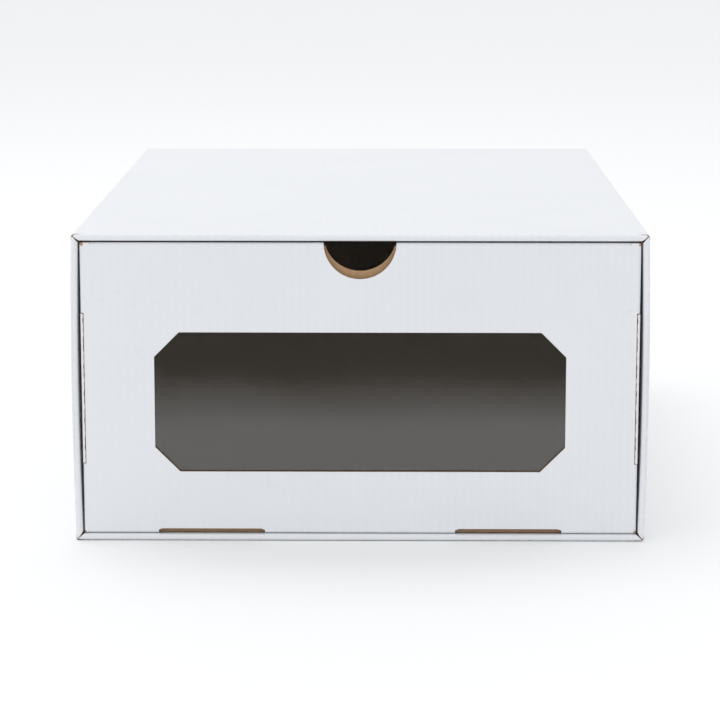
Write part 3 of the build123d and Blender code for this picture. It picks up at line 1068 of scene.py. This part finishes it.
# --- Corner flaps ---
# Folded back from the upright edges of the front and rear, and held inside the side walls. Their
# rounded creases make the front's outer edges, cut away where the side walls' tabs come through.
corner_taper = 10 * MM
for side, side_name in sides:
    for end, end_name in ((-1, "front"), (1, "rear")):
        node = f"corner_flap_{end_name}_{side_name}"
        low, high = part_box(node)
        face_y = drawer_front if end < 0 else drawer_rear
        across = Z * side * -end
        span = sorted((across.z * (drawer_foot + tab_play), across.z * drawer_top))
        edge_x = side * drawer_half
        edge_points = [(side * floor_edge, face_y, 0), (edge_x, face_y, 0)]
        edge_points.append((edge_x, face_y - end * crease_radius, 0))
        edge_line = fold_line(edge_points, crease_radius)
        x_low, x_high = sorted((side * (drawer_half - board_thickness), side * (drawer_half + MM)))
        slot_low = (x_low, face_y - cutter_reach, edge_tab_low - tab_play)
        slot_high = (x_high, face_y + cutter_reach, edge_tab_high + tab_play)
        edge = lay_board(
            f"{node}_crease_board", edge_line, across, span, drawer_papers["y"], False,
            [slab(slot_low, slot_high)],
        )
        belongs(edge, "drawer", "white_board", node)
        flap_face = high.x if side > 0 else low.x
        near_x = flap_face + side * MM
        start, tip = (low.y, high.y) if end < 0 else (high.y, low.y)
        flap_line = fold_line([(flap_face, start, 0), (flap_face, tip, 0)], 0)
        flap_span = sorted((across.z * low.z, across.z * high.z))
        corner_cuts = tapers(
            (low.z, high.z), tip + end * (corner_taper + MM), tip - end * MM, corner_taper + MM,
            lambda y, z: (near_x, y, z), X * -side,
        )
        board(
            node, flap_line, across, flap_span, drawer_papers["y"], False, corner_cuts, slot="kraft_board"
        )

# --- Stage ---
# A large pale floor in a white studio, soft lights, and a long-lens camera a little above the
# front. A dark card lies on the floor in front of the box, hidden from the camera and from all
# but glossy rays, so that the film reflects it and nothing else shows it.
def sheet(name, x_half, y_near, y_far, height):
    """A flat rectangle on the floor."""
    corners = [(-x_half, y_near), (x_half, y_near), (x_half, y_far), (-x_half, y_far)]
    return from_faces(name, [(x, y, height) for x, y in corners], [[0, 1, 2, 3]])


floor_half = 15
floor_drop = 0.2 * MM
floor = sheet("floor", floor_half, -floor_half, floor_half, -floor_drop)
floor_finish, tree, shader, where = start_material("pale floor")
tone = mixed(tree, noise(tree, where, 3.0, 2.0), (0.94, 0.945, 0.95, 1), (0.955, 0.955, 0.955, 1))
fill(tree, shader, {"Base Color": tone, "Roughness": 0.8})
floor.data.materials.append(floor_finish)
card_half = 2.5
card_near = -4.0
card_fade_start, card_fade_end = -0.527, -0.387
card = sheet("dark_card", card_half, card_near, card_fade_end, MM)
card_finish, tree, shader, where = start_material("dark card")
run = parted(tree, where)["Y"]
fade_ends = {"From Min": card_fade_start, "From Max": card_fade_end, "To Min": 1.0, "To Max": 0.0}
fade = add(tree, "ShaderNodeMapRange", {"Value": run, **fade_ends}).outputs[0]
card_look = {"Base Color": (0.01, 0.008, 0.006, 1), "Roughness": 1.0, "Specular IOR Level": 0.0}
fill(tree, shader, {"Alpha": fade, **card_look})
card.data.materials.append(card_finish)
for rays in ("camera", "diffuse", "transmission", "shadow"):
    setattr(card, f"visible_{rays}", False)

world = bpy.data.worlds.new("studio")
bpy.context.scene.world = world
world.use_nodes = True
sky_look = {"Color": (0.98, 0.99, 1.0, 1), "Strength": 0.94}
fill(world.node_tree, world.node_tree.nodes["Background"], sky_look)


def softbox(name, place, target, size, power, colour):
    """A square soft light aimed at a point."""
    light = bpy.data.lights.new(name, "AREA")
    light.size = size
    light.energy = power
    light.color = colour
    lamp = as_object(name, light)
    lamp.location = place
    lamp.rotation_mode = "QUATERNION"
    lamp.rotation_quaternion = (Vector(target) - Vector(place)).to_track_quat("-Z", "Y")


aim = (0, 0, 0.06)
softbox("overhead", (-0.4, 0.3, 1.8), aim, 1.2, 6.5, (1.0, 0.99, 0.97))
softbox("front_left", (-1.3, -1.6, 0.8), aim, 1.0, 2.5, (0.95, 0.97, 1.0))

view_elevation = math.radians(11.1)
view_azimuth = math.radians(0.6)
view_distance = 1.05
view_length = 131
aim_rise = 12 * MM
focus = Vector((0, sleeve_front, middle_height))
back = Vector((
    math.sin(view_azimuth) * math.cos(view_elevation),
    -math.cos(view_azimuth) * math.cos(view_elevation),
    math.sin(view_elevation),
))
camera_data = bpy.data.cameras.new("camera")
camera_data.lens = view_length
camera_data.sensor_width = 36
camera = as_object("camera", camera_data)
camera.location = focus + back * view_distance
target = Vector((0, sleeve_front, middle_height + aim_rise))
camera.rotation_mode = "QUATERNION"
camera.rotation_quaternion = (target - camera.location).to_track_quat("-Z", "Y")
bpy.context.scene.camera = camera
bpy.context.scene.view_settings.view_transform = "Standard"
